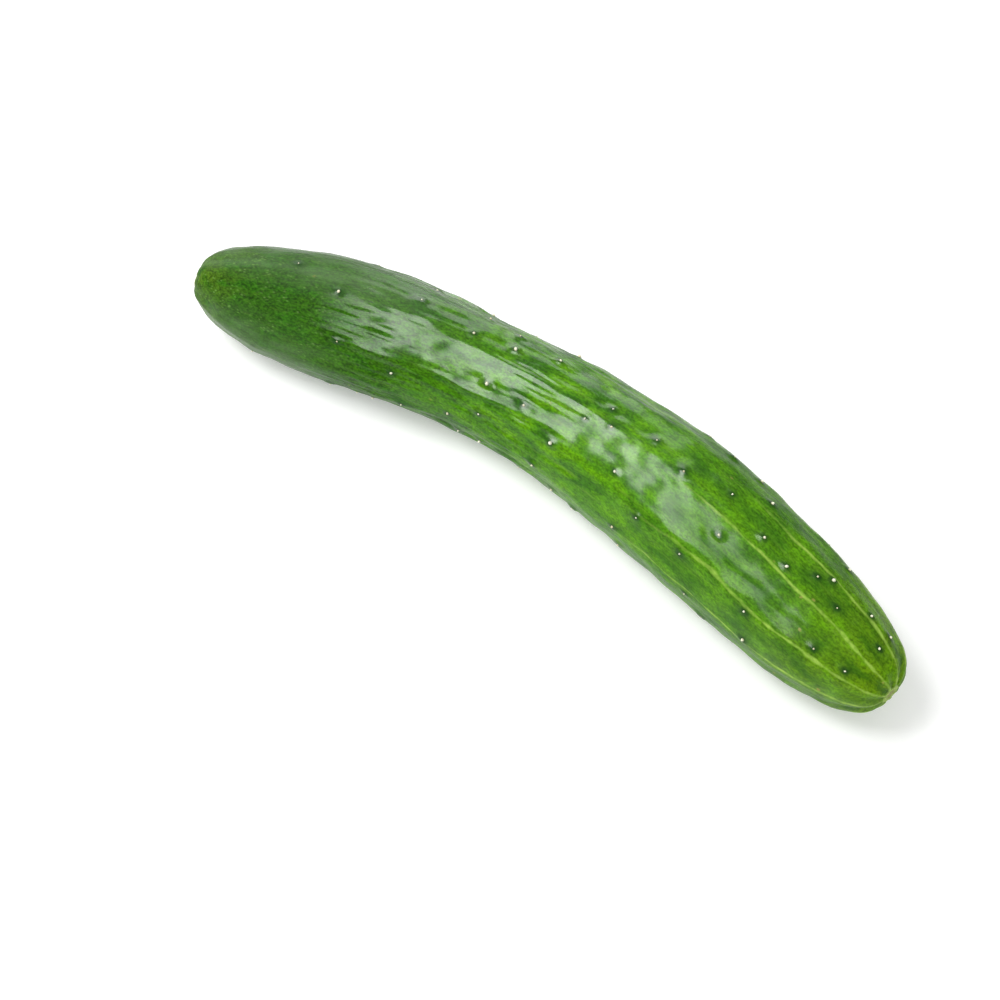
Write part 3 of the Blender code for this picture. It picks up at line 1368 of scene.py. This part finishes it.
    def relief(self, spots: Spots) -> np.ndarray:
        """How far points of the skin stand out from the plain form.

        Args:
            spots: The points.

        Returns:
            The height of each.
        """
        ridge = between(ease(spots.along, *self.ridge_growth), *self.ridge_height)
        wander = self.wander.at(spots.straight) * self.ridge_sway
        height = ridge * np.cos(self.ridges * (spots.angle + wander - self.ridge_phase))
        height += self.lump_height * self.lumps.at(spots.straight)
        height += self.ripple_height * self.ripples.at(spots.straight)
        height += self.dimple_height * self.dimples.at(spots.straight)
        height += self.wrinkle_relief(spots, wander)
        height *= ease(spots.radius, *self.end_fade)
        height += self.form.nose(spots.along, spots.radius)
        return height + self.pucker_relief(spots) + self.wart_relief(spots)

    def wrinkle_relief(self, spots: Spots, wander: np.ndarray) -> np.ndarray:
        """The folds of the skin, and the furrows between its ridges.

        Args:
            spots: The points.
            wander: How far the ridges are turned aside at each of them.

        Returns:
            The height of each.
        """
        folds = np.sqrt(self.folds.at(spots.straight) ** 2 + self.fold_softness) - self.fold_level
        folds += self.small_fold_share * self.small_folds.at(spots.straight)
        furrows = self.furrows(spots, wander)
        return (self.wrinkle_height * folds - self.furrow_depth * furrows) * self.wrinkled(spots)

    def furrows(self, spots: Spots, wander: np.ndarray) -> np.ndarray:
        """Where long narrow furrows run, half way between the ridges.

        Args:
            spots: The points.
            wander: How far the ridges are turned aside at each of them.

        Returns:
            1 in the middle of a furrow, and 0 beside it.
        """
        angle = spots.angle + wander + self.furrow_crook.at(spots.straight) * self.furrow_sway
        turns = (angle - self.ridge_phase) * self.ridges / (2.0 * math.pi) + 0.5
        off = np.abs(turns - np.round(turns)) * spots.radius * 2.0 * math.pi / self.ridges
        depth = ease(self.furrow_patches.at(spots.straight), *self.furrow_levels)
        return depth * np.exp(-((off / self.furrow_width) ** 2))

    def wrinkled(self, spots: Spots) -> np.ndarray:
        """How wrinkled the skin is: most over the middle of the stem half, in patches.

        Args:
            spots: The points.

        Returns:
            1 where the skin is most wrinkled, and less elsewhere.
        """
        band = ease(spots.along, *self.wrinkle_start) * (1.0 - ease(spots.along, *self.wrinkle_end))
        patches = ease(self.wrinkle_patches.at(spots.straight), *self.wrinkle_levels)
        return between(band, *self.wrinkling) * between(patches, *self.wrinkle_evenness)

    def pucker_relief(self, spots: Spots) -> np.ndarray:
        """The pleats round the scars.

        Args:
            spots: The points.

        Returns:
            The height of each.
        """
        blossom = ease(self.form.length - spots.along, *self.pucker_growth)
        near = ease(spots.radius, *self.pucker_start) * (1.0 - ease(spots.radius, *self.pucker_end))
        pleats = np.cos(self.ridges * (spots.angle - self.ridge_phase))
        return self.pucker_height * pleats * near * between(blossom, *self.puckering)

    def wart_distance(self, spots: Spots, wart: Wart) -> tuple[np.ndarray, np.ndarray]:
        """Finds the points near a wart.

        Args:
            spots: The points.
            wart: The wart, which is a little longer than wide.

        Returns:
            Which of the points are near, and how far each of those is.
        """
        reach = self.wart_reach * wart.radius
        near = np.flatnonzero(np.abs(spots.along - wart.along) < 2.0 * reach)
        turn = np.remainder(spots.angle[near] - wart.angle + math.pi, 2.0 * math.pi) - math.pi
        ahead = spots.along[near] - wart.along
        ahead /= np.where(ahead < 0.0, self.wart_tail, self.wart_head)
        apart = np.hypot(ahead, turn * spots.radius[near])
        close = apart < reach
        return near[close], apart[close]

    def wart_relief(self, spots: Spots) -> np.ndarray:
        """The warts: a dome each, with a pit where the spine stands and a faint moat.

        Args:
            spots: The points.

        Returns:
            The height of each.
        """
        height = np.zeros(len(spots.along))
        for wart in self.warts:
            near, apart = self.wart_distance(spots, wart)
            dome = 1.0 - ease(apart, 0.0, wart.radius)
            beside = apart - self.moat_place * wart.radius
            moat = np.exp(-((beside / (self.moat_width * wart.radius)) ** 2))
            pit = np.exp(-((apart / self.pit_radius) ** 2))
            height[near] += wart.height * (dome - self.moat_share * moat - self.pit_share * pit)
        return height

    def wart_tone_and_painted_shade(self, spots: Spots) -> np.ndarray:
        """Where the skin is darker round the spine of a wart: partly the wart's own tone, partly painted
        shade round the spine's foot.

        Args:
            spots: The points.

        Returns:
            1 where a point is darkest, and 0 away from the warts.
        """
        shade = np.zeros(len(spots.along))
        for wart in self.warts:
            near, apart = self.wart_distance(spots, wart)
            halo_radius = self.halo_radius + self.halo_growth * wart.radius
            halo = np.exp(-((apart / halo_radius) ** 2)) * self.halo_shade
            dot = np.exp(-((apart / self.dot_radius) ** 4)) * self.dot_shade
            shade[near] = np.maximum(shade[near], halo + dot)
        return np.clip(shade, 0.0, 1.0)

    def rest(self, height: np.ndarray) -> np.ndarray:
        """Heights with the underside pressed flat on the table, without a crease."""
        return (height + np.sqrt(height * height + self.press * self.press)) / 2.0


@dataclass
class Spines:
    """The stubs of the spines, one on each wart that stands clear of the table, joined into one piece."""

    form: FruitForm
    warts: Sequence[Wart]
    finish: SpineFinish = SpineFinish()
    foot: float = 0.39 * MM
    height: float = 0.52 * MM
    profile: Profile = (  # shares of the foot's radius and of the height
        (0.85, -0.30),
        (1.0, 0.0),
        (0.92, 0.30),
        (0.66, 0.66),
        (0.36, 0.92),
        (0.12, 1.0),
    )
    sides: int = 8
    buried: float = 0.056 * MM
    lean: float = 0.40
    squash: Span = (0.72, 1.18)
    youth: Span = (0.66, 3.74)  # by the stem and by the blossom. More is fewer old spines
    low: float = 2.0 * MM  # spines nearer to the table than this are rubbed off
    seed: int = 5

    def build(self, skin: bpy.types.Object) -> bpy.types.Object:
        """Models one spine, sets a copy on every wart that stands clear of the table and joins the copies.

        Args:
            skin: The finished skin that they stand on.

        Returns:
            The spines.
        """
        model = self.model()
        chance = random.Random(self.seed)
        standing = [wart for wart in self.warts if self.stands(wart)]
        copies = [self.copy_to(model, skin, wart, chance) for wart in standing]
        bpy.data.objects.remove(model)
        deselect_all()
        for copy in copies:
            copy.select_set(True)
        bpy.context.view_layer.objects.active = copies[0]
        bpy.ops.object.join()
        piece = bpy.context.object
        piece.name = "spines"
        piece.data.name = "spines"
        settle(piece)
        add_piece(piece, self.finish.material())
        return piece

    def stands(self, wart: Wart) -> bool:
        """Whether a wart is high enough above the table to have kept its spine."""
        return self.form.surface(wart.along, wart.angle)[0].z > self.low

    def model(self) -> bpy.types.Object:
        """Models one blunt spine.

        Returns:
            The spine, standing on the origin.
        """
        up = Vector((0.0, 0.0, 1.0))
        rings = [Ring(up * share * self.height, up, wide * self.foot) for wide, share in self.profile]
        piece = loft("spine", rings, self.sides)
        tips = np.clip(read_points(piece)[:, 2] / self.height, 0.0, 1.0)
        write_attribute(piece, "tip", tips)
        write_attribute(piece, "age", np.zeros(len(tips)))
        return piece

    def copy_to(
        self, model: bpy.types.Object, skin: bpy.types.Object, wart: Wart, chance: random.Random
    ) -> bpy.types.Object:
        """Sets a copy of the spine into its wart, with a lean of its own.

        Args:
            model: The spine.
            skin: The finished skin.
            wart: The wart.
            chance: Where its lean, its size and its age are drawn from.

        Returns:
            The copy.
        """
        pick(model)
        bpy.ops.object.duplicate(linked=False)
        copy = bpy.context.object
        place, facing = self.form.surface(wart.along, wart.angle)
        _, foot, _, _ = skin.closest_point_on_mesh(place + facing * wart.height)
        lean = Vector([chance.uniform(-self.lean, self.lean) for _ in range(3)])
        axis = (facing + lean).normalized()
        turn = axis.to_track_quat("Z", "Y").to_matrix().to_4x4()
        squash = [wart.spine * chance.uniform(*self.squash) for _ in range(3)]
        size = Matrix.Diagonal((*squash, 1.0))
        copy.matrix_world = Matrix.Translation(foot - axis * self.buried) @ turn @ size
        age = chance.random() ** between(wart.along / self.form.length, *self.youth)
        copy.data.attributes["age"].data.foreach_set("value", [age] * len(copy.data.vertices))
        return copy


@dataclass
class Scar:
    """The round scar at one end, set in the skin's cup: a lip round a hollow middle."""

    form: FruitForm
    end: End
    profile: Profile  # (share of the radius, height in metres)
    finish: ScarFinish
    seed: int
    sides: int = 28
    rounding: int = 2
    lip_place: float = 0.85  # as a share of the radius
    lip_width: float = 0.25
    lip_lumps: float = 0.10 * MM
    grain: float = 0.06 * MM
    coarse_size: Size = (1.1 * MM, 1.1 * MM, 1.1 * MM)
    fine_size: Size = (0.45 * MM, 0.45 * MM, 0.45 * MM)

    def build(self) -> bpy.types.Object:
        """Models the scar and dresses it.

        Returns:
            The scar.
        """
        radius = self.form.scar_radius(self.end)
        along = self.form.end_distance(self.end, radius)
        outwards = Vector(self.form.forwards(along)) * (-1.0 if self.end is End.STEM else 1.0)
        middle = Vector(self.form.centre(along)) + outwards * float(self.form.nose(along, radius))
        rings = []
        for share, height in self.profile:
            rings.append(Ring(middle + outwards * height, outwards, share * radius))
        piece = loft(f"{self.end.value}_scar", rings, self.sides)
        subdivide(piece, self.rounding)
        points = read_points(piece)
        offset = points - np.array(middle)
        level = offset @ np.array(outwards)
        out = np.linalg.norm(offset - level[:, None] * np.array(outwards), axis=1) / radius
        coarse = Lumps(self.coarse_size, self.seed).at(points)
        fine = Lumps(self.fine_size, self.seed + 1).at(points)
        lip = np.exp(-(((out - self.lip_place) / self.lip_width) ** 2))
        rise = self.lip_lumps * coarse * lip + self.grain * fine
        write_points(piece, points + read_normals(piece) * rise[:, None])
        write_attribute(piece, "out", out)
        settle(piece)
        add_piece(piece, self.finish.material())
        return piece


# From the scar's buried foot out to its rim, over its lip and in to the middle of its face.
STEM_SCAR_PROFILE: Profile = (
    (0.60, -0.60 * MM),
    (1.04, -0.45 * MM),
    (1.06, -0.10 * MM),
    (0.98, 0.20 * MM),
    (0.84, 0.26 * MM),
    (0.68, 0.04 * MM),
    (0.45, -0.16 * MM),
    (0.25, -0.06 * MM),
    (0.08, 0.06 * MM),
)
BLOSSOM_SCAR_PROFILE: Profile = (
    (0.60, -0.60 * MM),
    (1.04, -0.40 * MM),
    (1.06, 0.00 * MM),
    (0.94, 0.22 * MM),
    (0.76, 0.24 * MM),
    (0.56, 0.02 * MM),
    (0.32, -0.08 * MM),
    (0.10, 0.02 * MM),
)
STEM_SCAR_FINISH = ScarFinish(
    "cucumber_stem_scar",
    rim=(0.42, 0.37, 0.13),
    middle=(0.22, 0.15, 0.06),
    edge=(0.16, 0.24, 0.05),
)
BLOSSOM_SCAR_FINISH = ScarFinish(
    "cucumber_blossom_scar",
    rim=(0.26, 0.40, 0.06),
    middle=(0.22, 0.25, 0.06),
    edge=(0.16, 0.32, 0.015),
)


# ------------------------------------------------------------------------------------ the studio


@dataclass(frozen=True)
class Softbox:
    """A soft lamp that faces the fruit."""

    name: str
    use: Use
    azimuth: float  # its side, in degrees to the right of straight away from the camera
    elevation: float  # its height above the table, in degrees
    roll: float  # how far it is turned about the way it faces, in degrees
    distance: float  # from the middle of the table, in metres
    width: float
    height: float
    power: float  # in watts


@dataclass
class Studio:
    """A white table, soft lamps round it and a camera that looks down on the fruit."""

    lamps: Sequence[Softbox] = (
        Softbox("key_light", Use.LIGHTING, -86, 62, 0, 1.1, 0.50, 0.50, 8.6),
        Softbox("key_shine", Use.MIRRORED, -95.5, 64.7, -37.5, 1.1, 1.12, 0.44, 31.0),
        Softbox("back_shine", Use.MIRRORED, -5, 18, 0, 1.3, 1.05, 1.00, 20.0),
    )
    camera_turn: float = math.radians(33.56)
    camera_tilt: float = math.radians(60)
    camera_distance: float = 0.670
    camera_lens: float = 100.0
    camera_film: float = 36.0  # in millimetres, as the lens
    aim_height: float = 16 * MM  # above the table's middle
    aim_right: float = -13.1 * MM  # from there, as the camera sees it
    aim_up: float = -13.6 * MM
    table_size: float = 8.0
    sky_fill: float = 0.74
    floor: FloorFinish = FloorFinish()

    def build(self) -> None:
        """Sets the table, the lamps, the sky and the camera."""
        self.add_table()
        self.add_sky()
        self.add_camera()
        for lamp in self.lamps:
            self.add_softbox(lamp)
        bpy.context.scene.view_settings.view_transform = "Standard"

    def right(self) -> Vector:
        """The level direction to the camera's right."""
        return Vector((math.cos(self.camera_turn), math.sin(self.camera_turn), 0.0))

    def away(self) -> Vector:
        """The level direction away from the camera."""
        return Vector((-math.sin(self.camera_turn), math.cos(self.camera_turn), 0.0))

    def add_table(self) -> None:
        """A wide plain table top, just under the fruit."""
        deselect_all()
        bpy.ops.mesh.primitive_plane_add(size=self.table_size, location=(0.0, 0.0, 0.0))
        table = bpy.context.object
        table.name = "table"
        table.data.materials.append(self.floor.material())

    def add_sky(self) -> None:
        """An even white sky, which lights the fruit but isn't mirrored in its skin."""
        world = bpy.data.worlds.new("studio")
        bpy.context.scene.world = world
        world.use_nodes = True
        background = world.node_tree.nodes["Background"]
        background.inputs["Color"].default_value = (1.0, 1.0, 1.0, 1.0)
        background.inputs["Strength"].default_value = self.sky_fill
        world.cycles_visibility.glossy = False

    def add_camera(self) -> None:
        """The camera, level, looking down on the fruit from its bend's inner side."""
        forwards = self.away() * math.cos(self.camera_tilt) - Vector((0, 0, math.sin(self.camera_tilt)))
        upwards = self.right().cross(forwards)
        aim = Vector((0.0, 0.0, self.aim_height)) + self.right() * self.aim_right + upwards * self.aim_up
        place = aim - forwards * self.camera_distance
        turned = (math.pi / 2.0 - self.camera_tilt, 0.0, self.camera_turn)
        deselect_all()
        bpy.ops.object.camera_add(location=place, rotation=turned)
        camera = bpy.context.object
        camera.name = "camera"
        camera.data.lens = self.camera_lens
        camera.data.sensor_width = self.camera_film
        bpy.context.scene.camera = camera

    def add_softbox(self, softbox: Softbox) -> None:
        """Adds a lamp, which the camera doesn't see.

        Args:
            softbox: The lamp.
        """
        side, rise = math.radians(softbox.azimuth), math.radians(softbox.elevation)
        level = self.away() * math.cos(side) + self.right() * math.sin(side)
        direction = level * math.cos(rise) + Vector((0.0, 0.0, math.sin(rise)))
        facing = (-direction).to_track_quat("-Z", "Y")
        roll = Quaternion((0.0, 0.0, 1.0), math.radians(softbox.roll))
        deselect_all()
        bpy.ops.object.light_add(
            type="AREA", location=direction * softbox.distance, rotation=(facing @ roll).to_euler()
        )
        lamp = bpy.context.object
        lamp.name = softbox.name
        lamp.data.shape = "RECTANGLE"
        lamp.data.size, lamp.data.size_y = softbox.width, softbox.height
        lamp.data.energy = softbox.power
        lamp.visible_camera = False
        lamp.visible_glossy = softbox.use is Use.MIRRORED
        lamp.visible_diffuse = softbox.use is Use.LIGHTING


def main() -> None:
    """Builds the fruit piece by piece, and the studio round it."""
    logging.basicConfig(level=logging.INFO, format="%(name)s: %(message)s")
    form = FruitForm()
    warts = WartRule().strew(form)
    log.info("%d warts", len(warts))
    skin = Skin(form, warts).build()
    Spines(form, warts).build(skin)
    Scar(form, End.STEM, STEM_SCAR_PROFILE, STEM_SCAR_FINISH, seed=8).build()
    Scar(form, End.BLOSSOM, BLOSSOM_SCAR_PROFILE, BLOSSOM_SCAR_FINISH, seed=14).build()
    Studio().build()


if __name__ == "__main__":
    main()
